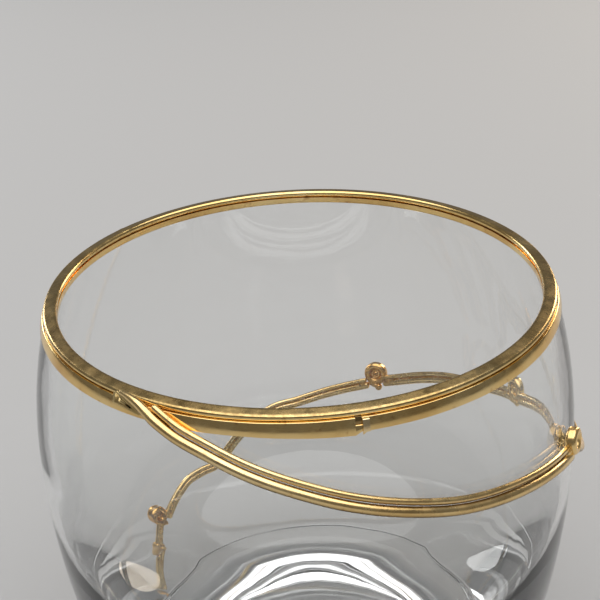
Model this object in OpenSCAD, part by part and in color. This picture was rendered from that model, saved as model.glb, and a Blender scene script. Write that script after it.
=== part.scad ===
// Round-bellied glass tumbler with a gilt-mounted mouth and a gilt vine of two parallel wires,
// joined by small buds, that spirals down round the outside of the glass.
// Millimetres, +Z up, origin at the centre of the foot. Angles run anticlockwise from +X.

/* [Glass] */
// Height of the middle of the rim's gilt cap above the table
rim_z = 72; // [66:1:80]
// Largest radius of the belly
belly_r = 41.1; // [40.5:0.1:41.5]
// Depth of the belly's widest circle below the rim
belly_drop = 22.2; // [21:0.2:24]
// Half-height of the outline's ellipse above the belly
upper_h = 55; // [53:0.5:58]
// Half-height of the outline's ellipse below the belly
lower_h = 71.8; // [70:0.2:76]
// Wall thickness at the mouth
lip_t = 1.5; // [1.3:0.1:1.6]
// Wall thickness at the belly
belly_t = 1.8; // [1.6:0.1:2.4]
// Thickness of the solid base under the hollow
base_t = 12; // [9:0.5:14]
// Squareness of the hollow's lower corner, 2 is an ellipse
hollow_power = 2.9; // [2.4:0.1:3.2]
// Radius of the rounded edge round the foot
foot_round = 4; // [3:0.5:4.5]
// Radius of the shallow recess under the foot
punt_r = 20; // [14:1:22]
// Depth of the recess under the foot
punt_h = 1.2; // [0.6:0.1:2]

/* [Gilt mouth] */
// Radius of the circle that the rim's cap follows
ring_r = 37; // [36.9:0.05:37.1]
// Radius of the cap's rounded outer edge
cap_outer = 0.47; // [0.4:0.01:0.5]
// Radius of the cap's rounded inner edge
cap_inner = 0.5; // [0.4:0.01:0.5]
// How much lower the cap's flat top is at its outer edge than at its inner one
cap_slope = 0.2; // [0.1:0.02:0.3]
// Thickness of the flat band outside the mouth
band_t = 0.4; // [0.3:0.05:0.5]
// Depth of the band's lower edge below the rim, midway between front and back
band_drop = 1.95; // [1.8:0.05:2.4]
// How far the band's lower edge dips at the front and rises at the back
band_dip = 0.42; // [0:0.02:0.7]
// How much deeper the band's left end reaches at the gap
band_tongue = 0.42; // [0:0.02:0.5]
// Angle of the gap between the band's two ends
seam_angle = 280.8; // [272:0.1:300]
// Width of that gap, in degrees
seam_gap = 1.35; // [0.8:0.05:2]
// Width of the raised strip beside the gap, in degrees
seam_strip = 1.45; // [0.8:0.05:1.6]
// Depth of the turned-in lip inside the mouth
lip_h = 0.95; // [0.6:0.05:1.2]

/* [Vine] */
// Thickness of the upper wire
thin_d = 1; // [0.8:0.05:1.05]
// Thickness of the lower wire
thick_d = 1.6; // [1.4:0.05:1.65]
// Spacing of the two wires' centres across the wall
wire_gap = 1.32; // [1.32:0.01:1.4]
// Clear distance between the vine and the glass
lift = 0.04; // [0.02:0.01:0.1]
// Steps between two places on the vine's route
route_steps = 8; // [4:1:10]

/* [Buds] */
// Outer radius of a full-sized bud's cup
cup_r = 2.15; // [1.9:0.05:2.15]
// Width of the cup's rounded wall
cup_wall = 1.35; // [1.1:0.05:1.4]
// Height of a full-sized bud's cup above the glass
cup_h = 1.9; // [1.7:0.1:2.1]
// Diameter of the round seed in the cup
seed_d = 1.2; // [1:0.1:1.3]

/* [Hidden] */
$fn = 96;
// Longer than any radius, for the solids that cut others
REACH = 60;
// Clear distance between pieces that are soldered together
JOIN = 0.02;
// Places of the middles of the cap's two rounded edges, as [outwards, up] from the cap's middle
CAP_OUT = [0.6, -0.05];
CAP_IN = [-0.55, CAP_OUT[1] + cap_slope + cap_outer - cap_inner];
// Depth of the cap's foot on the glass below its middle, and the foot's two sides
CAP_FOOT = 0.9;
FOOT_OUT = 0.4;
FOOT_IN = -0.3;
// Depth of the band's upper edge below the rim, just under the cap's outer edge
BAND_TOP = 0.52;
// Clear distance between the band and the glass
BAND_GAP = 0.08;
// Extra distance off the glass for what is soldered to the band
BAND_STAND = band_t + 0.12;
// Angle at which the band's left end starts to reach deeper
TONGUE_START = 258;
// Distance of the turned-in lip's inner face from the cap's circle, and the lip's thickness and top
LIP_INSET = 1.05;
LIP_T = 0.38;
LIP_TOP = -0.42;
// Each bud: angle, depth below the rim, size, and its grains as [x, y, diameter] from the cup's middle
BUDS = [
    [336.5, 18.6, 1, [[-1.3, -2.1, 1.1], [0.3, -2.3, 1.2]]],
    [386.1, 30, 1, [[0.6, -2.15, 1.6], [-1, -2.3, 1.2]]],
    [431.3, 36.4, 1, [[0.7, -1.7, 1.4], [-0.6, -2.5, 1.4]]],
    [502.3, 56.4, 0.9, [[0.5, -1.85, 1.4], [-0.8, -2.3, 1.1]]],
    [508.5, 61.6, 0.5, [[0, -2.3, 1.6], [-1.5, -1.8, 1.2]]]
];
// Each length of vine: places as [angle, depth below the rim], from one bud to the next
LENGTHS = [
    [
        [230.7, -0.4], [232.4, -0.38], [235.2, -0.05], [237.6, 0.6], [240.7, 1.65], [245, 3.05], [249.2, 4.25],
        [258.9, 6.95], [268, 9.2], [278.3, 11.7], [289, 13.9], [301, 16], [317, 17.8], [326.2, 18.8],
        [333.2, 19.6]
    ],
    [[340, 20.6], [346, 23.1], [354.4, 25.7], [363.1, 26.9], [369.5, 27.8], [375, 28.9], [382.4, 30.7]],
    [[389.6, 31.9], [398, 33.1], [410.9, 34.3], [418, 35.4], [425, 36.8], [427.7, 37.3]],
    [
        [434.8, 38.6], [443.8, 40.4], [451.6, 42], [459.7, 43.3], [468, 47.2], [475, 51], [478.4, 52.3],
        [483, 52.6], [488, 53.1], [494.2, 55.2], [498.4, 57]
    ],
    [[504.3, 58.4], [507.2, 60.2]],
    [[509.6, 63.2], [510.9, 64.6], [513.4, 67.1], [514.5, 67.9]]
];
// Angle at which the upper wire joins the lower one
THIN_START = 238.8;
// Corners of the plate beside the vine's start, as [angle, depth below the rim]
ROOT = [[229.2, 0], [229.2, 1.25], [235.9, 1.75]];
ROOT_T = 0.4;
// Place of the bead at the vine's other end, and its radius
TAIL = [515.6, 68.7];
TAIL_R = 0.7;

// ---- the glass outline: radius and slope at a depth below the rim ----

function half_height(drop) = drop < belly_drop ? upper_h : lower_h;
function glass_r(drop) = belly_r * sqrt(1 - pow((drop - belly_drop) / half_height(drop), 2));
// Tilt of the outward normal above the horizontal, in degrees
function glass_tilt(drop) = atan(
    belly_r * (belly_drop - drop) / pow(half_height(drop), 2) * belly_r / glass_r(drop)
);

// The flat top of the glass under the cap's foot, and the bevel beside it
mouth_drop = CAP_FOOT + JOIN;
mouth_outer = ring_r + 0.45;
mouth_inner = ring_r - 0.3;
wall_top = mouth_drop + 0.3;
hollow_drop = rim_z - base_t;
hollow_r = belly_r - belly_t;
// Where the outline runs into the rounded edge of the foot
wall_end = rim_z - foot_round + 1.2;
foot_r = glass_r(wall_end) - foot_round;

function outer_points() = [
    for (i = [0:28])
        let (drop = wall_top + (wall_end - wall_top) * i / 28)
        [glass_r(drop), rim_z - drop]
];
function foot_points() = [
    for (a = [10:20:90])
        [foot_r + foot_round * cos(a), foot_round - foot_round * sin(a)]
];
function punt_points() = [
    for (i = [0:6])
        [punt_r * (1 - i / 6), punt_h * sin(90 * i / 6)]
];
// Quarter of a squared ellipse: the hollow's rounded bottom and lower wall
function hollow_points() = [
    for (i = [0:20])
        let (a = 90 - 90 * i / 20)
        [
            hollow_r * pow(cos(a), 2 / hollow_power),
            rim_z - belly_drop - (hollow_drop - belly_drop) * pow(sin(a), 2 / hollow_power)
        ]
];
function throat_points() = [
    for (i = [1:9])
        let (
            part = i / 9,
            drop = belly_drop - (belly_drop - wall_top) * part
        )
        [glass_r(drop) - belly_t + (belly_t - lip_t) * part, rim_z - drop]
];

module glass_bowl() {
    top = rim_z - mouth_drop;
    color([0.86, 0.9, 0.9, 0.35])
    rotate_extrude($fn = 128)
    polygon(concat(
        [[mouth_outer, top]],
        outer_points(),
        foot_points(),
        punt_points(),
        hollow_points(),
        throat_points(),
        [[mouth_inner, top]]
    ));
}

// ---- the gilt mouth ----

module gilt() {
    color([0.83, 0.65, 0.28])
    children();
}

function arc_points(middle, radius, from, to) = [
    for (a = [from:sign(to - from) * 10:to])
        middle + radius * [cos(a), sin(a)]
];

// The cap folded over the edge of the glass: a gently sloping flat top between two rounded edges
module rim_ring() {
    gilt()
    translate([0, 0, rim_z])
    rotate_extrude($fn = 128)
    translate([ring_r, 0])
    polygon(concat(
        arc_points(CAP_OUT, cap_outer, 80, -60),
        [[FOOT_OUT, -CAP_FOOT], [FOOT_IN, -CAP_FOOT]],
        arc_points(CAP_IN, cap_inner, 280, 80)
    ));
}

// A hoop that follows the glass from one depth to another, standing off it by gap
module hoop(from_drop, to_drop, gap, thick) {
    rotate_extrude($fn = 128)
    polygon([
        [glass_r(from_drop) + gap, rim_z - from_drop],
        [glass_r(from_drop) + gap + thick, rim_z - from_drop],
        [glass_r(to_drop) + gap + thick, rim_z - to_drop],
        [glass_r(to_drop) + gap, rim_z - to_drop]
    ]);
}

// Everything below the band's sloping lower edge
module under_band() {
    slope = atan(band_dip / ring_r);
    translate([0, 0, rim_z - band_drop])
    rotate([slope, 0, 0])
    translate([-REACH, -REACH, -20])
    cube([2 * REACH, 2 * REACH, 20]);
}

// Where the band's left end reaches deeper, as a slope that starts at an angle before the gap
module tongue() {
    arc = (seam_angle - TONGUE_START) * PI / 180 * ring_r;
    depth = band_drop - band_dip * sin(TONGUE_START) * glass_r(band_drop) / ring_r;
    rotate([0, 0, TONGUE_START])
    translate([0, 0, rim_z - depth])
    rotate([-atan(band_tongue / arc), 0, 0])
    cube([REACH, REACH, 3]);
}

// A wedge from the axis outward that starts at an angle and is a few degrees wide
module wedge(start, width) {
    translate([0, 0, rim_z - 10])
    linear_extrude(20)
    polygon([
        [0, 0],
        REACH * [cos(start), sin(start)],
        REACH * [cos(start + width), sin(start + width)]
    ]);
}

module rim_band() {
    gilt()
    difference() {
        hoop(BAND_TOP, 3.2, BAND_GAP, band_t);
        difference() {
            under_band();
            intersection() {
                tongue();
                wedge(TONGUE_START, seam_angle - TONGUE_START);
            }
        }
        wedge(seam_angle - seam_gap, seam_gap);
    }
}

module band_seam_strip() {
    gilt()
    intersection() {
        difference() {
            hoop(BAND_TOP + 0.15, 3, BAND_GAP + band_t + JOIN, 0.3);
            under_band();
        }
        wedge(seam_angle + 0.05, seam_strip);
    }
}

module rim_lip() {
    inner_r = ring_r - LIP_INSET;
    gilt()
    translate([0, 0, rim_z + LIP_TOP - lip_h])
    difference() {
        cylinder(h = lip_h, r = inner_r + LIP_T, $fn = 128);
        translate([0, 0, -1])
        cylinder(h = lip_h + 2, r = inner_r, $fn = 128);
    }
}

// ---- the vine ----

// Smooth curve through the places of one length of vine
function spline(a, b, c, d, t) = 0.5 * (
    2 * b + (c - a) * t + (2 * a - 5 * b + 4 * c - d) * t * t + (3 * b - a - 3 * c + d) * t * t * t
);
function route(places) = [
    let (last = len(places) - 1)
    for (i = [0:last - 1], s = [0:route_steps - (i == last - 1 ? 0 : 1)])
        spline(
            places[max(i - 1, 0)],
            places[i],
            places[i + 1],
            places[min(i + 2, last)],
            s / route_steps
        )
];
// 1 over the band, easing to 0 below it
function over_band(angle) =
    let (t = min(max((angle - 243) / 9, 0), 1))
    1 - t * t * (3 - 2 * t);
// Share of the wires' full thickness: pointed at the root, and thinner towards the tail
function taper(angle) = lookup(angle, [[230, 0.38], [235, 0.76], [240, 1], [345, 1], [500, 0.72], [514, 0.42]]);
function normal(place) =
    let (tilt = glass_tilt(place[1]))
    [cos(tilt) * cos(place[0]), cos(tilt) * sin(place[0]), sin(tilt)];
function on_glass(place) =
    let (r = glass_r(place[1]))
    [r * cos(place[0]), r * sin(place[0]), rim_z - place[1]];
function unit(v) = v / norm(v);

// Closed tube of rings of eight points round a line of points
module tube(line, across, radii) {
    sides = 8;
    count = len(line);
    rings = [
        for (i = [0:count - 1])
            let (
                ahead = unit(line[min(i + 1, count - 1)] - line[max(i - 1, 0)]),
                side = unit(across[i] - (across[i] * ahead) * ahead),
                up = cross(ahead, side)
            )
            for (k = [0:sides - 1])
                line[i] + radii[i] * (cos(360 * k / sides) * side + sin(360 * k / sides) * up)
    ];
    walls = [
        for (i = [0:count - 2], k = [0:sides - 1])
            let (n = (k + 1) % sides, a = i * sides, b = a + sides)
            [a + k, b + k, b + n, a + n]
    ];
    start_cap = [[for (k = [0:sides - 1]) k]];
    end_cap = [[for (k = [sides - 1:-1:0]) (count - 1) * sides + k]];
    polyhedron(points = rings, faces = concat(walls, start_cap, end_cap), convexity = 10);
}

// One wire of a length of vine: the thin upper one, or the thick lower one
module vine_wire(index, thin) {
    start = thin ? THIN_START : 0;
    places = [for (p = route(LENGTHS[index - 1])) if (p[0] >= start) p];
    last = len(places) - 1;
    wire_r = (thin ? thin_d : thick_d) / 2;
    strand = thin_d / 2 + wire_gap + thick_d / 2;
    shift = thin ? strand / 2 - wire_r : wire_r - strand / 2;
    radii = [for (p = places) wire_r * taper(p[0])];
    line_on_glass = [for (p = places) on_glass(p)];
    across = [
        for (i = [0:last])
            unit(cross(
                normal(places[i]),
                line_on_glass[min(i + 1, last)] - line_on_glass[max(i - 1, 0)]
            ))
    ];
    line = [
        for (i = [0:last])
            line_on_glass[i]
                + (radii[i] + lift + over_band(places[i][0]) * BAND_STAND) * normal(places[i])
                + shift * taper(places[i][0]) * across[i]
    ];
    gilt()
    tube(line, across, radii);
}

// Sets its children on the glass, with their Z axis pointing out of it
module on_surface(angle, drop) {
    rotate([0, 0, angle])
    translate([glass_r(drop), 0, rim_z - drop])
    rotate([0, 90 - glass_tilt(drop), 0])
    rotate([0, 0, 90])
    children();
}

// The small three-cornered plate that is soldered to the band beside the vine's pointed start
module vine_root() {
    gilt()
    hull()
    for (corner = ROOT)
        on_surface(corner[0], corner[1])
        translate([0, 0, BAND_STAND + ROOT_T / 2])
        sphere(d = ROOT_T, $fn = 16);
}

module vine_tail_bead() {
    gilt()
    on_surface(TAIL[0], TAIL[1])
    translate([0, 0, TAIL_R + lift])
    sphere(r = TAIL_R);
}

// ---- the buds ----

// Sets its children on the glass at a bud, at the bud's size
module at_bud(index) {
    bud = BUDS[index - 1];
    on_surface(bud[0], bud[1])
    translate([0, 0, lift])
    scale(bud[2])
    children();
}

module grains(index, clear) {
    for (grain = BUDS[index - 1][3])
        translate([grain[0], grain[1], grain[2] / 2])
        sphere(d = grain[2] + clear);
}

// The cup is a rounded ring with a notch for each grain
module bud_cup(index) {
    wall_r = cup_wall / 2;
    gilt()
    at_bud(index)
    difference() {
        rotate_extrude($fn = 64)
        translate([cup_r - wall_r, 0])
        union() {
            translate([0, wall_r])
            circle(r = wall_r, $fn = 24);
            translate([-wall_r, wall_r])
            square([cup_wall, cup_h - cup_wall]);
            translate([0, cup_h - wall_r])
            circle(r = wall_r, $fn = 24);
        }
        grains(index, 2 * lift);
    }
}

module bud_seed(index) {
    gilt()
    at_bud(index)
    translate([0, 0, cup_h / 2])
    sphere(d = seed_d);
}

module bud_grains(index) {
    gilt()
    at_bud(index)
    grains(index, 0);
}

glass_bowl();
rim_ring();
rim_band();
rim_lip();
band_seam_strip();
vine_root();
vine_tail_bead();
for (index = [1:len(LENGTHS)]) {
    vine_wire(index, true);
    vine_wire(index, false);
}
for (index = [1:len(BUDS)]) {
    bud_cup(index);
    bud_seed(index);
    bud_grains(index);
}
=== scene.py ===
"""Looks for the gilt-mounted glass tumbler: smooth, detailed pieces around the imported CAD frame."""
import math

import bmesh
import bpy
from mathutils import Matrix, Vector, noise


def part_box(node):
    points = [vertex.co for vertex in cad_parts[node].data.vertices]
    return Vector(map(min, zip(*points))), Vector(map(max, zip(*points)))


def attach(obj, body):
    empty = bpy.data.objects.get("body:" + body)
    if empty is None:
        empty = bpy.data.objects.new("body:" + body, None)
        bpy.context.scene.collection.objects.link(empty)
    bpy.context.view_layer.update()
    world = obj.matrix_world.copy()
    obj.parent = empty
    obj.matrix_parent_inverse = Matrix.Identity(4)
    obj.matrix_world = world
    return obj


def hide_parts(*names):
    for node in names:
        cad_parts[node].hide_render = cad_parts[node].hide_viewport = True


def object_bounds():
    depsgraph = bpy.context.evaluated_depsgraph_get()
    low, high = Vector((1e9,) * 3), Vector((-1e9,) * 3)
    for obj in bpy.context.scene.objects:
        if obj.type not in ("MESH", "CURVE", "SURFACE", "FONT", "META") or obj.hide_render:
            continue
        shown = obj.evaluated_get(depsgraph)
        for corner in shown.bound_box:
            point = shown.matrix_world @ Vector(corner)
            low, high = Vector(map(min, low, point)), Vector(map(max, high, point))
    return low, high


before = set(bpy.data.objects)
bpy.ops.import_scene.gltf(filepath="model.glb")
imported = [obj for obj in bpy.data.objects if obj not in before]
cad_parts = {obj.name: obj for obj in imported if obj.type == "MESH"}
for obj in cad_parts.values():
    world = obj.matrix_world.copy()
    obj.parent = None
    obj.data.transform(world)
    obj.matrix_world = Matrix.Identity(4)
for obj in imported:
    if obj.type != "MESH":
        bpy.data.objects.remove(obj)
cad_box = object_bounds()

MM = 0.001

# ---- sizes taken from the frame ----

ring_low, ring_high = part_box("rim_ring")
glass_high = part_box("glass_bowl")[1]
lip_low, lip_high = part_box("rim_lip")

# The cap's two rounded edges, as the (outwards, up) place of each middle and its radius, and the cap's foot
CAP_OUT = Vector((0.6, -0.05)) * MM
CAP_OUTER = 0.47 * MM
CAP_IN = Vector((-0.55, 0.12)) * MM
CAP_INNER = 0.5 * MM
CAP_FOOT = 0.9 * MM
FOOT_OUT = 0.4 * MM
FOOT_IN = -0.3 * MM

RING_R = ring_high.x - CAP_OUT.x - CAP_OUTER
RIM_Z = ring_low.z + CAP_FOOT
BELLY_R = glass_high.x

# ---- the glass outline, as in the design: two half ellipses that meet at the belly ----

BELLY_DROP = 22.2 * MM
UPPER_H = 55 * MM
LOWER_H = 71.8 * MM
LIP_T = 1.5 * MM
BELLY_T = 1.8 * MM
BASE_T = 12 * MM
HOLLOW_POWER = 2.9
FOOT_ROUND = 4 * MM
PUNT_R = 20 * MM
PUNT_H = 1.2 * MM

# ---- the gilt mouth and the vine, as in the design: angles in degrees, depths in mm below the rim ----

BAND_T = 0.4 * MM
BAND_TOP = 0.52 * MM
BAND_GAP = 0.08 * MM
BAND_DROP = 1.95 * MM
BAND_DIP = 0.42 * MM
BAND_TONGUE = 0.42 * MM
BAND_STAND = BAND_T + 0.12 * MM
# Thickness of the strip turned in behind the glass's edge
TURNED_IN_T = 0.38 * MM
TONGUE_START = 258
SEAM = 280.8
SEAM_GAP = 1.35
SEAM_STRIP = 1.45
# The soldered joint in the cap: its angle, half its width in degrees, and how much the cap swells there
JOINT = 139
JOINT_WIDTH = 0.5
JOINT_SWELL = 0.06

THIN_D = 1.0 * MM
THICK_D = 1.6 * MM
WIRE_GAP = 1.32 * MM
LIFT = 0.04 * MM
# How far the wires run on into the solder of a bud
INTO_BUD = 0.8 * MM
THIN_START = 238.8
TAPER = [(230, 0.38), (235, 0.76), (240, 1), (345, 1), (500, 0.72), (514, 0.42)]
LENGTHS = [
    [
        (230.7, -0.4), (232.4, -0.38), (235.2, -0.05), (237.6, 0.6), (240.7, 1.65), (245, 3.05),
        (249.2, 4.25), (258.9, 6.95), (268, 9.2), (278.3, 11.7), (289, 13.9), (301, 16), (317, 17.8),
        (326.2, 18.8), (333.2, 19.6),
    ],
    [(340, 20.6), (346, 23.1), (354.4, 25.7), (363.1, 26.9), (369.5, 27.8), (375, 28.9), (382.4, 30.7)],
    [(389.6, 31.9), (398, 33.1), (410.9, 34.3), (418, 35.4), (425, 36.8), (427.7, 37.3)],
    [
        (434.8, 38.6), (443.8, 40.4), (451.6, 42), (459.7, 43.3), (468, 47.2), (475, 51), (478.4, 52.3),
        (483, 52.6), (488, 53.1), (494.2, 55.2), (498.4, 57),
    ],
    [(504.3, 58.4), (507.2, 60.2)],
    [(509.6, 63.2), (510.9, 64.6), (513.4, 67.1), (514.5, 67.9)],
]
ROOT = [(229.2, 0), (229.2, 1.25), (235.9, 1.75)]
ROOT_T = 0.4 * MM
# Height of the plate's face, as a share of its rim's
ROOT_FACE = 0.88
TAIL = (515.6, 68.7)
TAIL_R = 0.7 * MM

# Each bud: angle, depth below the rim, size, and its grains as (x, y, diameter) from the cup's middle
BUDS = [
    (336.5, 18.6, 1, [(-1.3, -2.1, 1.1), (0.3, -2.3, 1.2)]),
    (386.1, 30, 1, [(0.6, -2.15, 1.6), (-1, -2.3, 1.2)]),
    (431.3, 36.4, 1, [(0.7, -1.7, 1.4), (-0.6, -2.5, 1.4)]),
    (502.3, 56.4, 0.9, [(0.5, -1.85, 1.4), (-0.8, -2.3, 1.1)]),
    (508.5, 61.6, 0.5, [(0, -2.3, 1.6), (-1.5, -1.8, 1.2)]),
]
CUP_R = 2.15 * MM
CUP_WALL = 1.35 * MM
CUP_H = 1.9 * MM
SEED_D = 1.2 * MM


def half_height(drop):
    return UPPER_H if drop < BELLY_DROP else LOWER_H


def glass_r(drop):
    """Outer radius of the glass at a drop below the rim."""
    return BELLY_R * math.sqrt(1 - ((drop - BELLY_DROP) / half_height(drop)) ** 2)


def glass_tilt(drop):
    """Angle of the outward normal above the horizontal."""
    rise = BELLY_R * (BELLY_DROP - drop) / half_height(drop) ** 2
    return math.atan(rise * BELLY_R / glass_r(drop))


# ---- camera ----


def make_camera():
    """Looks down at the mouth from the photo's angle, a little rolled, as the hand that held it."""
    distance = 6.5 * RING_R
    elevation = math.radians(25.9)
    roll = math.radians(2.9)
    aim_drop = 1.7 * MM
    data = bpy.data.cameras.new("camera")
    data.sensor_width = 36
    data.lens = 96.8
    data.clip_start = 0.01
    camera = bpy.data.objects.new("camera", data)
    bpy.context.scene.collection.objects.link(camera)
    mouth = Vector((0, 0, RIM_Z))
    back = Vector((0, -math.cos(elevation), math.sin(elevation)))
    up = Vector((0, math.sin(elevation), math.cos(elevation)))
    camera.location = mouth + distance * back
    aim = mouth - aim_drop * up
    look = (aim - camera.location).to_track_quat("-Z", "Y").to_matrix()
    camera.rotation_euler = (look @ Matrix.Rotation(-roll, 3, "Z")).to_euler()
    bpy.context.scene.camera = camera


# ---- mesh helpers ----


def new_piece(name, verts, faces, material):
    """A smooth mesh that rides on the one body."""
    mesh = bpy.data.meshes.new(name)
    mesh.from_pydata([tuple(v) for v in verts], [], faces)
    mesh.validate()
    mesh.polygons.foreach_set("use_smooth", [True] * len(mesh.polygons))
    mesh.materials.append(material)
    piece = bpy.data.objects.new(name, mesh)
    bpy.context.scene.collection.objects.link(piece)
    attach(piece, "root")
    return piece


def lathe(profile, steps, bend=None):
    """Vertices and faces of a (radius, height) profile turned round Z. A point on the axis stays one."""
    verts, rows = [], []
    for r, z in profile:
        if r < 1e-7:
            rows.append([len(verts)])
            verts.append(Vector((0, 0, z)))
            continue
        row = []
        for k in range(steps):
            a = 2 * math.pi * k / steps
            row.append(len(verts))
            point = Vector((r * math.cos(a), r * math.sin(a), z))
            verts.append(bend(point, a) if bend else point)
        rows.append(row)
    faces = []
    for low, high in zip(rows, rows[1:]):
        for k in range(steps):
            n = (k + 1) % steps
            if len(low) == 1:
                faces.append((low[0], high[n], high[k]))
            elif len(high) == 1:
                faces.append((low[k], low[n], high[0]))
            else:
                faces.append((low[k], low[n], high[n], high[k]))
    return verts, faces


def swept(line, across, outline, sides=20):
    """Vertices and faces of a closed tube: outline(i, turn) gives offsets along (side, up) at ring i."""
    verts, faces = [], []
    last = len(line) - 1
    for i, centre in enumerate(line):
        ahead = (line[min(i + 1, last)] - line[max(i - 1, 0)]).normalized()
        side = (across[i] - across[i].dot(ahead) * ahead).normalized()
        up = ahead.cross(side)
        for k in range(sides):
            a, b = outline(i, 2 * math.pi * k / sides)
            verts.append(centre + a * side + b * up)
    for i in range(last):
        for k in range(sides):
            n = (k + 1) % sides
            faces.append((i * sides + k, (i + 1) * sides + k, (i + 1) * sides + n, i * sides + n))
    faces.append(tuple(range(sides)))
    faces.append(tuple(last * sides + k for k in reversed(range(sides))))
    return verts, faces


def melted(name, shells, voxel, material):
    """Closed shells run together into one smooth skin, as solder does, in a piece of its own."""
    verts, faces = [], []
    for shell_verts, shell_faces in shells:
        faces += [tuple(len(verts) + k for k in face) for face in shell_faces]
        verts += shell_verts
    rough = bpy.data.meshes.new(name + "_shells")
    rough.from_pydata([tuple(v) for v in verts], [], faces)
    holder = bpy.data.objects.new(name + "_shells", rough)
    bpy.context.scene.collection.objects.link(holder)
    remesh = holder.modifiers.new("remesh", "REMESH")
    remesh.mode = "VOXEL"
    remesh.voxel_size = voxel
    smooth = holder.modifiers.new("smooth", "SMOOTH")
    smooth.factor = 0.5
    smooth.iterations = 4
    depsgraph = bpy.context.evaluated_depsgraph_get()
    skin = bpy.data.meshes.new_from_object(holder.evaluated_get(depsgraph))
    skin_verts = [v.co.copy() for v in skin.vertices]
    skin_faces = [tuple(p.vertices) for p in skin.polygons]
    bpy.data.objects.remove(holder)
    bpy.data.meshes.remove(rough)
    bpy.data.meshes.remove(skin)
    return new_piece(name, skin_verts, skin_faces, material)


# ---- materials ----


def node_material(name):
    material = bpy.data.materials.new(name)
    material.use_nodes = True
    nodes = material.node_tree.nodes
    return material, nodes, material.node_tree.links, nodes["Principled BSDF"]


def ramp(nodes, stops):
    node = nodes.new("ShaderNodeValToRGB")
    while len(node.color_ramp.elements) < len(stops):
        node.color_ramp.elements.new(0.5)
    for element, (place, colour) in zip(node.color_ramp.elements, stops):
        element.position = place
        element.color = (*colour, 1)
    return node


def noise_node(nodes, links, source, scale, detail=4):
    node = nodes.new("ShaderNodeTexNoise")
    node.inputs["Scale"].default_value = scale
    node.inputs["Detail"].default_value = detail
    links.new(source, node.inputs["Vector"])
    return node


def range_node(nodes, links, source, low, high, start=0.3, end=0.7):
    node = nodes.new("ShaderNodeMapRange")
    node.inputs["From Min"].default_value = start
    node.inputs["From Max"].default_value = end
    node.inputs["To Min"].default_value = low
    node.inputs["To Max"].default_value = high
    links.new(source, node.inputs["Value"])
    return node


def hoop_coordinates(nodes, links):
    """Radius, turn and height as a vector, so that a texture runs round the mouth."""
    place = nodes.new("ShaderNodeTexCoord")
    parts = nodes.new("ShaderNodeSeparateXYZ")
    links.new(place.outputs["Object"], parts.inputs["Vector"])
    turn = nodes.new("ShaderNodeMath")
    turn.operation = "ARCTAN2"
    links.new(parts.outputs["Y"], turn.inputs[0])
    links.new(parts.outputs["X"], turn.inputs[1])
    scaled = nodes.new("ShaderNodeMath")
    scaled.operation = "MULTIPLY"
    scaled.inputs[1].default_value = 0.0012
    links.new(turn.outputs[0], scaled.inputs[0])
    squares = nodes.new("ShaderNodeVectorMath")
    squares.operation = "MULTIPLY"
    squares.inputs[1].default_value = (1, 1, 0)
    links.new(place.outputs["Object"], squares.inputs[0])
    radius = nodes.new("ShaderNodeVectorMath")
    radius.operation = "LENGTH"
    links.new(squares.outputs[0], radius.inputs[0])
    joined = nodes.new("ShaderNodeCombineXYZ")
    links.new(radius.outputs["Value"], joined.inputs["X"])
    links.new(scaled.outputs[0], joined.inputs["Y"])
    links.new(parts.outputs["Z"], joined.inputs["Z"])
    return joined.outputs[0], place.outputs["Object"]


def mixed(nodes, links, factor, first, second):
    """A colour that goes from first to second, which are a socket or a plain colour."""
    mix = nodes.new("ShaderNodeMix")
    mix.data_type = "RGBA"
    links.new(factor, mix.inputs["Factor"])
    for name, value in (("A", first), ("B", second)):
        if isinstance(value, tuple):
            mix.inputs[name].default_value = (*value, 1)
        else:
            links.new(value, mix.inputs[name])
    return mix.outputs["Result"]


def product(nodes, links, first, second):
    node = nodes.new("ShaderNodeMath")
    node.operation = "MULTIPLY"
    links.new(first, node.inputs[0])
    links.new(second, node.inputs[1])
    return node.outputs[0]


def rim_wear_and_shade(nodes, links, place):
    """Wear and painted shade on the rim's crest: darker on top, most at the front, in speckles."""
    parts = nodes.new("ShaderNodeSeparateXYZ")
    links.new(place, parts.inputs["Vector"])
    crest = range_node(nodes, links, parts.outputs["Z"], 0, 1, RIM_Z - 0.05 * MM, RIM_Z + 0.4 * MM)
    front = range_node(nodes, links, parts.outputs["Y"], 1, 0.12, -0.3 * RING_R, 0.75 * RING_R)
    speckle = noise_node(nodes, links, place, 1500, 4)
    patches = range_node(nodes, links, speckle.outputs["Fac"], 0.35, 1, 0.35, 0.6)
    both = product(nodes, links, crest.outputs["Result"], front.outputs["Result"])
    return product(nodes, links, both, patches.outputs["Result"])


def painted_underside_shade(nodes, links, place):
    """Painted shade: undersides darkened in soft patches, most on the front."""
    parts = nodes.new("ShaderNodeSeparateXYZ")
    links.new(nodes.new("ShaderNodeNewGeometry").outputs["Normal"], parts.inputs["Vector"])
    facing = range_node(nodes, links, parts.outputs["Z"], 0.85, 0, -0.5, 0.05)
    patches = noise_node(nodes, links, place, 380, 3)
    cover = range_node(nodes, links, patches.outputs["Fac"], 0.75, 1)
    spot = nodes.new("ShaderNodeSeparateXYZ")
    links.new(place, spot.inputs["Vector"])
    front = range_node(nodes, links, spot.outputs["Y"], 1, 0.1, -0.2 * RING_R, 0.4 * RING_R)
    both = product(nodes, links, facing.outputs["Result"], cover.outputs["Result"])
    return product(nodes, links, both, front.outputs["Result"])


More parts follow.
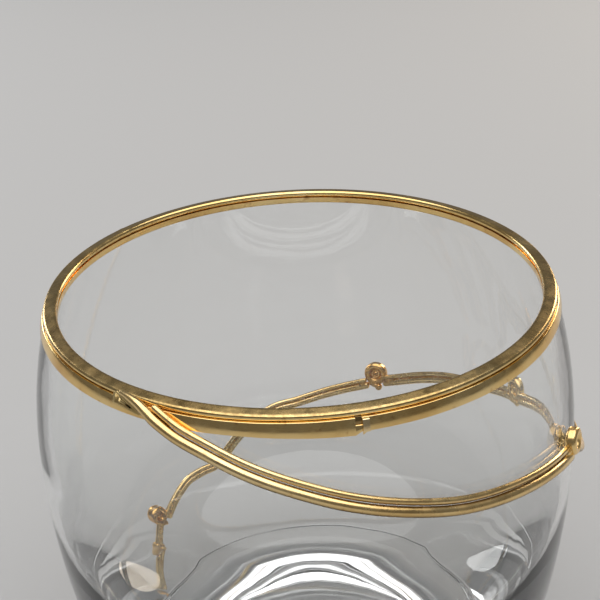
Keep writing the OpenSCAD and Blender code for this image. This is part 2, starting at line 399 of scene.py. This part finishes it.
def gilt_material(
    name, low, mid, high, lined=False, waves=0.5, gloss=(0.07, 0.26), worn_and_shaded=False, underside_shaded=False
):
    """Polished gilding: drifting warm colour, thin wear, fine polish lines, slightly uneven reflections."""
    material, nodes, links, shader = node_material(name)
    if lined:
        grain_source, place = hoop_coordinates(nodes, links)
    else:
        coordinates = nodes.new("ShaderNodeTexCoord")
        place = coordinates.outputs["Object"]
        grain_source = place
    shader.inputs["Metallic"].default_value = 1
    drift = noise_node(nodes, links, place, 95, 5)
    colour = ramp(nodes, [(0.3, low), (0.5, mid), (0.72, high)])
    links.new(drift.outputs["Fac"], colour.inputs["Fac"])
    wear = noise_node(nodes, links, place, 900, 6)
    worn = range_node(nodes, links, wear.outputs["Fac"], 0, 0.5, 0.6, 0.72)
    tone = mixed(nodes, links, worn.outputs["Result"], colour.outputs["Color"], (0.45, 0.2, 0.06))
    polish = noise_node(nodes, links, place, 420, 5)
    rough = range_node(nodes, links, polish.outputs["Fac"], *gloss).outputs["Result"]
    # Painted shade: undersides turned dark brown, most at the front
    if underside_shaded:
        underside_shade = painted_underside_shade(nodes, links, place)
        tone = mixed(nodes, links, underside_shade, tone, (0.11, 0.06, 0.015))
    # Wear and painted shade on the crest: a duller brown there, and rougher
    if worn_and_shaded:
        crest_wear_and_shade = rim_wear_and_shade(nodes, links, place)
        tone = mixed(nodes, links, crest_wear_and_shade, tone, (0.45, 0.31, 0.13))
        crest_wear_and_shade_rough = range_node(nodes, links, crest_wear_and_shade, 0, 0.16, 0, 1)
        total = nodes.new("ShaderNodeMath")
        total.operation = "ADD"
        links.new(rough, total.inputs[0])
        links.new(crest_wear_and_shade_rough.outputs["Result"], total.inputs[1])
        rough = total.outputs[0]
    links.new(tone, shader.inputs["Base Color"])
    links.new(rough, shader.inputs["Roughness"])
    lines = noise_node(nodes, links, grain_source, 5200 if lined else 3800, 3)
    fine = nodes.new("ShaderNodeBump")
    fine.inputs["Strength"].default_value = 0.12
    fine.inputs["Distance"].default_value = 0.00002
    links.new(lines.outputs["Fac"], fine.inputs["Height"])
    swell = noise_node(nodes, links, place, 260, 2)
    broad = nodes.new("ShaderNodeBump")
    broad.inputs["Strength"].default_value = waves
    broad.inputs["Distance"].default_value = 0.00012
    links.new(swell.outputs["Fac"], broad.inputs["Height"])
    links.new(fine.outputs["Normal"], broad.inputs["Normal"])
    links.new(broad.outputs["Normal"], shader.inputs["Normal"])
    return material


def glass_material():
    """Clear blown glass: faint ripples, and smears that dull it in patches."""
    material, nodes, links, shader = node_material("clear_glass")
    shader.inputs["Base Color"].default_value = (0.985, 0.992, 0.99, 1)
    shader.inputs["Transmission Weight"].default_value = 1
    shader.inputs["IOR"].default_value = 1.5
    place = nodes.new("ShaderNodeTexCoord").outputs["Object"]
    smears = noise_node(nodes, links, place, 70, 6)
    dull = range_node(nodes, links, smears.outputs["Fac"], 0, 0.07, 0.56, 0.75)
    links.new(dull.outputs["Result"], shader.inputs["Roughness"])
    ripples = noise_node(nodes, links, place, 55, 3)
    bump = nodes.new("ShaderNodeBump")
    bump.inputs["Strength"].default_value = 0.25
    bump.inputs["Distance"].default_value = 0.00015
    links.new(ripples.outputs["Fac"], bump.inputs["Height"])
    links.new(bump.outputs["Normal"], shader.inputs["Normal"])
    return material


# ---- the glass ----


def glass_profile():
    """From the middle of the foot up the outside, over the lip, and down to the middle of the hollow."""
    foot_drop = RIM_Z - FOOT_ROUND
    join_drop = foot_drop + 1.2 * MM
    foot_r = glass_r(join_drop) - FOOT_ROUND
    lip_drop = CAP_FOOT + 0.02 * MM
    lip_round = 0.35 * MM
    hollow_drop = RIM_Z - BASE_T
    hollow_r = BELLY_R - BELLY_T
    points = []
    for i in range(17):
        a = math.pi / 2 * i / 16
        points.append((PUNT_R * math.sin(a), PUNT_H * math.cos(a)))
    for a in range(0, 81, 8):
        turn = math.radians(a)
        points.append((foot_r + FOOT_ROUND * math.sin(turn), FOOT_ROUND * (1 - math.cos(turn))))
    start = lip_drop + lip_round
    for i in range(97):
        drop = join_drop + (start - join_drop) * i / 96
        points.append((glass_r(drop), RIM_Z - drop))
    outer = glass_r(start)
    inner = outer - LIP_T
    for a in range(15, 166, 15):
        turn = math.radians(a)
        half = (outer - inner) / 2
        r = (outer + inner) / 2 + half * math.copysign(abs(math.cos(turn)) ** 0.6, math.cos(turn))
        points.append((r, RIM_Z - start + lip_round * math.sin(turn)))
    for i in range(33):
        part = 1 - i / 32
        drop = BELLY_DROP - (BELLY_DROP - start) * part
        points.append((glass_r(drop) - BELLY_T + (BELLY_T - LIP_T) * part, RIM_Z - drop))
    for i in range(1, 73):
        a = math.pi / 2 * i / 72
        r = hollow_r * max(math.cos(a), 0) ** (2 / HOLLOW_POWER)
        z = RIM_Z - BELLY_DROP - (hollow_drop - BELLY_DROP) * math.sin(a) ** (2 / HOLLOW_POWER)
        points.append((0 if i == 72 else r, z))
    return points


def blown(point, angle):
    """A blown wall is never quite even: long soft waves, at most a few hundredths of a millimetre inwards."""
    away = min(1, max(0, (RIM_Z - 4 * MM - point.z) / (12 * MM))) * min(1, point.z / (3 * MM))
    wave = (noise.noise(point * 38) - 1) * 0.03 * MM * away
    outward = Vector((math.cos(angle), math.sin(angle), 0))
    return point + wave * outward


def make_glass():
    verts, faces = lathe(glass_profile(), 256, blown)
    piece = new_piece("glass", verts, faces, glass_material())
    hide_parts("glass_bowl")


# ---- the gilt mouth ----


def cap_profile():
    """The cap in section, as (outwards, up): flat sloping top, rounded edges, sides down to the foot."""
    points = []
    for a in range(80, -61, -10):
        turn = math.radians(a)
        points.append(CAP_OUT + CAP_OUTER * Vector((math.cos(turn), math.sin(turn))))
    points += [Vector((FOOT_OUT, -CAP_FOOT)), Vector((FOOT_IN, -CAP_FOOT))]
    for a in range(280, 79, -10):
        turn = math.radians(a)
        points.append(CAP_IN + CAP_INNER * Vector((math.cos(turn), math.sin(turn))))
    start, end = points[-1], points[0]
    return points + [start.lerp(end, k / 5) for k in range(1, 5)]


def joint_swell(angle):
    """How much the cap swells where its two ends were soldered, at the back on the left."""
    away = (math.degrees(angle) - JOINT) / JOINT_WIDTH
    return JOINT_SWELL * math.exp(-away * away)


def make_ring(material):
    """The cap, with a section that wanders slightly, as a hand-worked one does, and a soldered joint."""
    steps = 360
    profile = cap_profile()
    sides = len(profile)
    verts, faces = [], []
    for i in range(steps):
        a = 2 * math.pi * i / steps
        out = Vector((math.cos(a), math.sin(a), 0))
        share = 1 - 0.01 * (1 + noise.noise(out * 6)) + joint_swell(a)
        for flat in profile:
            verts.append(out * (RING_R + share * flat.x) + Vector((0, 0, RIM_Z + share * flat.y)))
    for i in range(steps):
        for k in range(sides):
            j, n = (i + 1) % steps, (k + 1) % sides
            faces.append((i * sides + k, i * sides + n, j * sides + n, j * sides + k))
    piece = new_piece("rim_cap", verts, faces, material)
    mark_sharp(piece)
    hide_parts("rim_ring")


def band_edge(angle):
    """Drop of the band's lower edge: lowest at the front, and deeper again at its left end by the gap."""
    turn = math.degrees(angle) % 360
    plain = BAND_DROP - BAND_DIP * math.sin(angle) * glass_r(BAND_DROP) / RING_R
    if turn < TONGUE_START or turn > SEAM:
        return plain
    start = math.radians(TONGUE_START)
    straight = BAND_DROP - BAND_DIP * math.sin(start) * glass_r(BAND_DROP) / RING_R
    reach = math.tan(math.radians(turn - TONGUE_START)) * glass_r(BAND_DROP)
    arc = math.radians(SEAM - TONGUE_START) * RING_R
    return max(plain, straight + BAND_TONGUE * reach / arc)


def strip(name, material, start, end, top, bottom, off, thick, steps, nodes, worn=0.0):
    """A flat strip round the glass with rounded edges. top and bottom give the drops at an angle."""
    edge = min(0.1 * MM, thick * 0.4)
    verts, faces = [], []
    for i in range(steps + 1):
        a = start + (end - start) * i / steps
        out = Vector((math.cos(a), math.sin(a), 0))
        high, low = top(a), bottom(a)
        ripple = noise.noise(out * 9) * worn
        outline = [
            (0, high), (thick - edge, high), (thick - 0.3 * edge, high + 0.3 * edge), (thick, high + edge),
            (thick, (high + low) / 2), (thick, low - edge), (thick - 0.3 * edge, low - 0.3 * edge),
            (thick - edge, low), (0, low), (0, (high + low) / 2),
        ]
        for depth, drop in outline:
            r = glass_r(drop) + off + depth + ripple * (depth > 0)
            verts.append(out * r + Vector((0, 0, RIM_Z - drop)))
    count = len(outline)
    for i in range(steps):
        for k in range(count):
            n = (k + 1) % count
            faces.append((i * count + k, i * count + n, (i + 1) * count + n, (i + 1) * count + k))
    faces.append(tuple(reversed(range(count))))
    faces.append(tuple(steps * count + k for k in range(count)))
    piece = new_piece(name, verts, faces, material)
    mark_sharp(piece)
    if nodes:
        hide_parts(*nodes)


def mark_sharp(piece, angle=40):
    """Keeps the crisp edges of a smooth-shaded piece."""
    limit = math.radians(angle)
    mesh = piece.data
    normals = [p.normal.copy() for p in mesh.polygons]
    beside = {}
    for p in mesh.polygons:
        for key in p.edge_keys:
            beside.setdefault(key, []).append(p.index)
    for edge in mesh.edges:
        pair = beside.get(edge.key, [])
        if len(pair) == 2 and normals[pair[0]].angle(normals[pair[1]], 0) > limit:
            edge.use_edge_sharp = True


def make_band(material, dark, bright):
    """The band, the raised strip beside the gap between its ends, a dark strip of painted shade in the gap,
    and the solder deep in the gap.
    """
    right = math.radians(SEAM)
    left = math.radians(SEAM - SEAM_GAP)
    strip(
        "mouth_band", material, right, left + 2 * math.pi, lambda a: BAND_TOP, band_edge,
        BAND_GAP, BAND_T, 360, ["rim_band"], 0.03 * MM,
    )
    strip(
        "seam_strip", bright, right + math.radians(0.05), right + math.radians(SEAM_STRIP - 0.05),
        lambda a: BAND_TOP + 0.15 * MM, lambda a: band_edge(a) - 0.03 * MM,
        BAND_GAP + BAND_T + 0.02 * MM, 0.28 * MM, 6, ["band_seam_strip"],
    )
    # Painted shade: a thin dark strip across the upper part of the gap stands for the slot's shadow
    slot_end = 1.5 * MM
    strip(
        "seam_slot", dark, left, right, lambda a: BAND_TOP, lambda a: slot_end,
        BAND_GAP, 0.1 * MM, 6, [],
    )
    left_edge, right_edge = band_edge(left), band_edge(right + 0.01)
    strip(
        "seam_solder", material, left, right, lambda a: slot_end + 0.02 * MM,
        lambda a: left_edge + (right_edge - left_edge) * (a - left) / (right - left),
        BAND_GAP, 0.3 * MM, 6, [],
    )


def make_lip(material):
    """The turned-in strip behind the glass's edge, with its lower edge rolled smooth."""
    low, high = lip_low.z, lip_high.z
    outer = lip_high.x
    inner = outer - TURNED_IN_T
    soft = 0.12 * MM
    profile = [
        (outer, low), (inner + soft, low), (inner + 0.3 * soft, low + 0.3 * soft), (inner, low + soft),
        (inner, (low + high) / 2), (inner, high), (outer, high), (outer, (low + high) / 2), (outer, low),
    ]
    verts, faces = lathe(profile[:-1], 256)
    row = 256
    last = (len(profile) - 2) * row
    for k in range(row):
        n = (k + 1) % row
        faces.append((last + k, last + n, n, k))
    piece = new_piece("mouth_lip", verts, faces, material)
    mark_sharp(piece)
    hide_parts("rim_lip")


# ---- the vine ----


def spline(a, b, c, d, t):
    return 0.5 * (2 * b + (c - a) * t + (2 * a - 5 * b + 4 * c - d) * t * t + (3 * b - a - 3 * c + d) * t**3)


def route(places, steps=16):
    """The smooth route through the places, as (angle in radians, drop in metres)."""
    line = []
    last = len(places) - 1
    for i in range(last):
        keys = [Vector(places[min(max(j, 0), last)]) for j in (i - 1, i, i + 1, i + 2)]
        for s in range(steps + (i == last - 1)):
            angle, drop = spline(*keys, s / steps)
            line.append((math.radians(angle), drop * MM))
    return line


def over_band(angle):
    """1 where the vine lies on the band, easing to 0 below it."""
    t = min(max((math.degrees(angle) - 243) / 9, 0), 1)
    return 1 - t * t * (3 - 2 * t)


def taper(angle):
    """Share of the wires' full thickness: pointed at the root, and thinner towards the tail."""
    turn = math.degrees(angle)
    for (low, share), (high, next_share) in zip(TAPER, TAPER[1:]):
        if turn <= high:
            part = max(0, (turn - low) / (high - low))
            return share + (next_share - share) * part
    return TAPER[-1][1]


def normal_at(angle, drop):
    tilt = glass_tilt(drop)
    return Vector((math.cos(tilt) * math.cos(angle), math.cos(tilt) * math.sin(angle), math.sin(tilt)))


def on_glass(angle, drop, off):
    r = glass_r(drop)
    return Vector((r * math.cos(angle), r * math.sin(angle), RIM_Z - drop)) + off * normal_at(angle, drop)


def on_surface(angle, drop, off=0.0):
    """A matrix that sets a piece on the glass: X along the turn, Y up the wall, Z out of the glass."""
    out = normal_at(angle, drop)
    along = Vector((-math.sin(angle), math.cos(angle), 0))
    up = out.cross(along)
    frame_ = Matrix((along, up, out)).transposed().to_4x4()
    frame_.translation = on_glass(angle, drop, off)
    return frame_


def make_wire(index, thin, material):
    """One wire of one length of vine, its ends rounded, drawn a little unevenly."""
    start = math.radians(THIN_START) if thin else 0
    places = [place for place in route(LENGTHS[index]) if place[0] >= start]
    wire_r = (THIN_D if thin else THICK_D) / 2
    strand = THIN_D / 2 + WIRE_GAP + THICK_D / 2
    shift = strand / 2 - wire_r if thin else wire_r - strand / 2
    core = [on_glass(a, drop, 0) for a, drop in places]
    last = len(core) - 1
    line, across, radii = [], [], []
    for i, (a, drop) in enumerate(places):
        ahead = core[min(i + 1, last)] - core[max(i - 1, 0)]
        side = normal_at(a, drop).cross(ahead).normalized()
        share = taper(a)
        off = wire_r * share + LIFT + over_band(a) * BAND_STAND
        line.append(on_glass(a, drop, off) + shift * share * side)
        across.append(side)
        radii.append(wire_r * share)
    if index > 0:
        line[0] += (line[0] - line[1]).normalized() * INTO_BUD
    if index < len(LENGTHS) - 1:
        line[-1] += (line[-1] - line[-2]).normalized() * INTO_BUD
    caps = [(1.0, 0.16), (0.86, 0.55), (0.6, 0.82), (0.25, 0.97)]
    first_step = (line[0] - line[1]).normalized() * radii[0] * 0.7
    last_step = (line[-1] - line[-2]).normalized() * radii[-1] * 0.7
    line = (
        [line[0] + first_step * far for far, _ in caps]
        + line
        + [line[-1] + last_step * far for far, _ in reversed(caps)]
    )
    across = [across[0]] * len(caps) + across + [across[-1]] * len(caps)
    radii = (
        [radii[0] * share for _, share in caps]
        + radii
        + [radii[-1] * share for _, share in reversed(caps)]
    )

    def outline(i, turn):
        even = 1 - 0.025 * (1 + noise.noise(line[i] * 260 + Vector((thin, 0, 0))))
        return radii[i] * even * math.cos(turn), radii[i] * even * math.sin(turn)

    verts, faces = swept(line, across, outline)
    verts = [Vector((v.x, v.y, min(v.z, cad_box[1].z - 0.01 * MM))) for v in verts]
    word = "upper" if thin else "lower"
    piece = new_piece(f"vine_length_{index + 1}_{word}", verts, faces, material)
    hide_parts(f"vine_{index + 1}_{word}")


def ball(radius, subdivisions=4):
    """Vertices and faces of a fine ball round the origin."""
    shape = bmesh.new()
    bmesh.ops.create_icosphere(shape, subdivisions=subdivisions, radius=radius)
    verts = [v.co.copy() for v in shape.verts]
    faces = [tuple(v.index for v in f.verts) for f in shape.faces]
    shape.free()
    return verts, faces


def lumpy(verts, amount, scale, seed):
    """The same vertices pushed in and out, never further out than they were."""
    shift = Vector((seed * 3.7, seed * 1.3, 0))
    return [v * (1 - amount * (0.5 + 0.5 * noise.noise(v * scale + shift))) for v in verts]


def placed(verts, matrix, offset=(0, 0, 0), stretch=(1, 1, 1)):
    scale = Matrix.Diagonal((*stretch, 1))
    return [matrix @ (Vector(offset) + (scale @ v.to_4d()).to_3d()) for v in verts]


def make_root(material):
    """The three-cornered plate on the band beside the vine's point: its edge is a raised, rounded rim."""
    corners = [Vector((math.radians(a) * glass_r(drop * MM), drop * MM)) for a, drop in ROOT]
    middle = sum(corners, Vector((0, 0))) / 3
    arc_steps = 7
    edge = []
    for i, corner in enumerate(corners):
        before = (corner - corners[i - 1]).normalized()
        after = (corners[(i + 1) % 3] - corner).normalized()
        turn_in = Vector((-before.y, before.x))
        turn_out = Vector((-after.y, after.x))
        if turn_in.dot(middle - corner) > 0:
            turn_in, turn_out = -turn_in, -turn_out
        for k in range(arc_steps):
            part = k / (arc_steps - 1)
            away = turn_in.slerp(turn_out, part) * ROOT_T / 2
            edge.append((corner, away))
    rims = [(1, 0.1), (1, 0.7), (0.85, 0.92), (0.5, 1), (0.1, 0.98), (-0.3, 0.91), (-0.8, ROOT_FACE)]
    verts, faces = [], []

    def place(flat, height):
        drop = flat.y
        return on_glass(flat.x / glass_r(drop), drop, BAND_STAND + height * ROOT_T)

    for out, height in rims:
        for corner, away in edge:
            verts.append(place(corner + away * out, height))
    count = len(edge)
    for i in range(len(rims) - 1):
        for k in range(count):
            n = (k + 1) % count
            faces.append((i * count + k, i * count + n, (i + 1) * count + n, (i + 1) * count + k))
    for row, height in ((0, 0.1), (len(rims) - 1, ROOT_FACE)):
        centre = len(verts)
        verts.append(place(middle, height))
        for k in range(count):
            n = (k + 1) % count
            pair = (n, k) if row == 0 else (k, n)
            faces.append((row * count + pair[0], row * count + pair[1], centre))
    piece = new_piece("vine_tip", verts, faces, material)
    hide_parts("vine_root")


def make_tail(material):
    verts, faces = ball(TAIL_R)
    base = on_surface(math.radians(TAIL[0]), TAIL[1] * MM, TAIL_R + LIFT)
    piece = new_piece("vine_tail_ball", placed(lumpy(verts, 0.06, 900, 9), base), faces, material)
    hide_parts("vine_tail_bead")


# ---- the buds ----


def bud_base(bud, off=0.0):
    """A matrix that sets a bud's own shape on the glass at its size."""
    angle, drop, size, _ = bud
    return on_surface(math.radians(angle), drop * MM, LIFT + off * size) @ Matrix.Scale(size, 4)


def solder_at(number, end, seed):
    """A drop of solder in the groove at one end of a length of vine."""
    verts, faces = ball(0.75 * MM, 3)
    a, drop = route(LENGTHS[number])[end]
    share = taper(a)
    base = on_surface(a, drop, THICK_D * 0.42 * share)
    return placed(lumpy(verts, 0.3, 1500, seed), base, (0, 0, 0), (1.5 * share, 1.5 * share, share)), faces


def make_cup(index, bud, material):
    """The ring-shaped wall of a bud, slightly lumpy, with a floor half way up and the vine's solder."""
    base = bud_base(bud)
    half = CUP_WALL / 2
    mid = CUP_R - half
    sides, steps = 28, 72
    profile = []
    for k in range(sides):
        turn = 2 * math.pi * k / sides
        lift = half if math.sin(turn) < 0 else CUP_H - half
        profile.append((mid + half * math.cos(turn), lift + half * math.sin(turn)))
    verts, faces = lathe(profile, steps)
    for k in range(steps):
        n = (k + 1) % steps
        faces.append(((sides - 1) * steps + k, (sides - 1) * steps + n, n, k))
    shaped = []
    for v in verts:
        core = Vector((v.x, v.y, 0)).normalized() * mid + Vector((0, 0, CUP_H / 2))
        dent = 0.14 * (0.5 + 0.5 * noise.noise(v * 620 + Vector((index * 5, 0, 0))))
        shaped.append(base @ (core + (v - core) * (1 - dent)))
    floor_verts, floor_faces = ball(1, 4)
    floor_size = (mid, mid, 0.3 * MM)
    cup_floor = placed(floor_verts, base, (0, 0, CUP_H / 2), floor_size), floor_faces
    shells = [(shaped, faces), cup_floor, solder_at(index - 1, -1, index), solder_at(index, 0, index + 20)]
    piece = melted(f"bud_{index}_wall", shells, 0.075 * MM * bud[2], material)
    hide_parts(f"bud_{index}_cup")


def make_seed(index, bud, material):
    base = bud_base(bud, CUP_H / 2)
    verts, faces = ball(SEED_D / 2)
    seed = placed(lumpy(verts, 0.1, 1300, index), base)
    piece = new_piece(f"bud_{index}_core", seed, faces, material)
    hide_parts(f"bud_{index}_seed")


def make_grains(index, bud, material):
    """Melted grains at the cup's lower side, run together with the solder between them."""
    base = bud_base(bud)
    grains = bud[3]
    shells = []
    for number, (x, y, size) in enumerate(grains):
        verts, faces = ball(size * MM / 2)
        lumps = lumpy(verts, 0.05, 1100, index * 7 + number)
        shells.append((placed(lumps, base, (x * MM, y * MM, size * MM / 2)), faces))
    x, y = (sum(grain[k] for grain in grains) / len(grains) for k in (0, 1))
    verts, faces = ball(0.5 * MM, 3)
    puddle = lumpy(verts, 0.2, 1400, index * 11)
    shells.append((placed(puddle, base, (x * MM, y * MM, 0.35 * MM), (1.5, 0.9, 0.7)), faces))
    piece = melted(f"bud_{index}_balls", shells, 0.07 * MM * bud[2], material)
    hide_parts(f"bud_{index}_grains")


# ---- stage ----


def make_floor():
    size = 3.0
    mesh = bpy.data.meshes.new("floor")
    corners = [(-size, -size, 0), (size, -size, 0), (size, size, 0), (-size, size, 0)]
    mesh.from_pydata(corners, [], [(0, 1, 2, 3)])
    floor = bpy.data.objects.new("floor", mesh)
    bpy.context.scene.collection.objects.link(floor)
    material, _, _, shader = node_material("pale_floor")
    shader.inputs["Base Color"].default_value = (0.5, 0.5, 0.5, 1)
    shader.inputs["Roughness"].default_value = 0.75
    mesh.materials.append(material)


def area_light(name, place, wide, tall, watts, colour=(1, 1, 1)):
    """A soft light, round or upright oval, that faces the glass."""
    data = bpy.data.lights.new(name, "AREA")
    data.shape = "ELLIPSE"
    data.size = wide
    data.size_y = tall
    data.energy = watts
    data.color = colour
    light = bpy.data.objects.new(name, data)
    bpy.context.scene.collection.objects.link(light)
    light.location = place
    aim = Vector((0, 0, RIM_Z * 0.6)) - light.location
    light.rotation_euler = aim.to_track_quat("-Z", "Y").to_euler()


def make_lights():
    """A broad soft light overhead, and a narrow upright one behind at each side, in a dim room."""
    world = bpy.data.worlds.new("studio")
    bpy.context.scene.world = world
    world.use_nodes = True
    world.node_tree.nodes["Background"].inputs["Color"].default_value = (0.14, 0.14, 0.14, 1)
    area_light("overhead", (0, -0.1, 1), 1.6, 1.6, 12)
    area_light("right", (0.4, 0.5, 0.22), 0.16, 0.4, 1.1, (1, 0.85, 0.68))
    area_light("left", (-0.4, 0.5, 0.22), 0.12, 0.4, 0.8)
    bpy.context.scene.view_settings.view_transform = "Standard"


make_camera()
ring_gilt = gilt_material(
    "ring_gilt", (0.76, 0.49, 0.17), (0.93, 0.66, 0.27), (0.99, 0.77, 0.4), True, 0.12, worn_and_shaded=True
)
band_gilt = gilt_material("band_gilt", (0.72, 0.43, 0.14), (0.9, 0.62, 0.25), (0.98, 0.74, 0.36), True, 0.35)
bar_gilt = gilt_material(
    "bar_gilt", (0.82, 0.55, 0.22), (0.94, 0.7, 0.35), (1, 0.82, 0.5), True, 0.2, (0.16, 0.3)
)
wire_gilt = gilt_material(
    "wire_gilt", (0.77, 0.51, 0.2), (0.93, 0.67, 0.31), (0.99, 0.78, 0.43), False, 0.3, (0.18, 0.34),
    underside_shaded=True,
)
# Painted shade: a darker, olive copy of the gilding for the plate at the vine's point
root_gilt_painted_shade = gilt_material(
    "root_gilt_painted_shade", (0.5, 0.36, 0.14), (0.64, 0.47, 0.2), (0.76, 0.58, 0.28), False, 0.2, (0.3, 0.45)
)
# Painted shade: a dark copy of the gilding for the gap between the band's ends
slot_painted_shade = gilt_material("slot_painted_shade", (0.2, 0.12, 0.045), (0.32, 0.2, 0.08), (0.45, 0.3, 0.12))
bud_gilt = gilt_material(
    "bud_gilt", (0.7, 0.39, 0.12), (0.9, 0.56, 0.21), (0.98, 0.72, 0.33), False, 0.55, (0.16, 0.36)
)
make_glass()
make_ring(ring_gilt)
make_band(band_gilt, slot_painted_shade, bar_gilt)
make_lip(band_gilt)
make_root(root_gilt_painted_shade)
make_tail(bud_gilt)
for index in range(len(LENGTHS)):
    for thin in (True, False):
        make_wire(index, thin, wire_gilt)
for number, bud in enumerate(BUDS, 1):
    make_cup(number, bud, bud_gilt)
    make_seed(number, bud, bud_gilt)
    make_grains(number, bud, bud_gilt)
make_floor()
make_lights()
